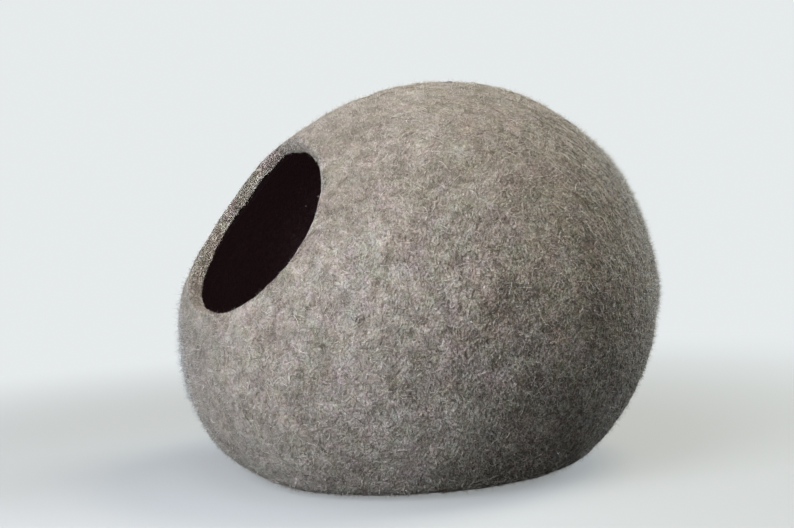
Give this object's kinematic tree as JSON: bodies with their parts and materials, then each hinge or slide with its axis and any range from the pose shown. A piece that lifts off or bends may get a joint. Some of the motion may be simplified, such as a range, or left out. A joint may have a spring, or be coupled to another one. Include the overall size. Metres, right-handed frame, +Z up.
{
  "type": "felt cat cave",
  "caption": "Hollow seamless ball of thick grey-brown wool felt with a flat base, a dark inside and an oval mouth at the front that faces slightly up.",
  "frame": {"origin": "on the table, under the middle of the cave's box", "axes": "+Z up, the mouth faces -Y and about 33 degrees upward, +X to the right of someone facing +Y"},
  "size_m": [0.4286, 0.4324, 0.3498],
  "materials": {
    "grey_brown_wool": "matt heathered wool felt, fuzzy, near-black wool on the inside"
  },
  "bodies": {
    "root": {"felt_shell": "grey_brown_wool"}
  },
  "joints": []
}
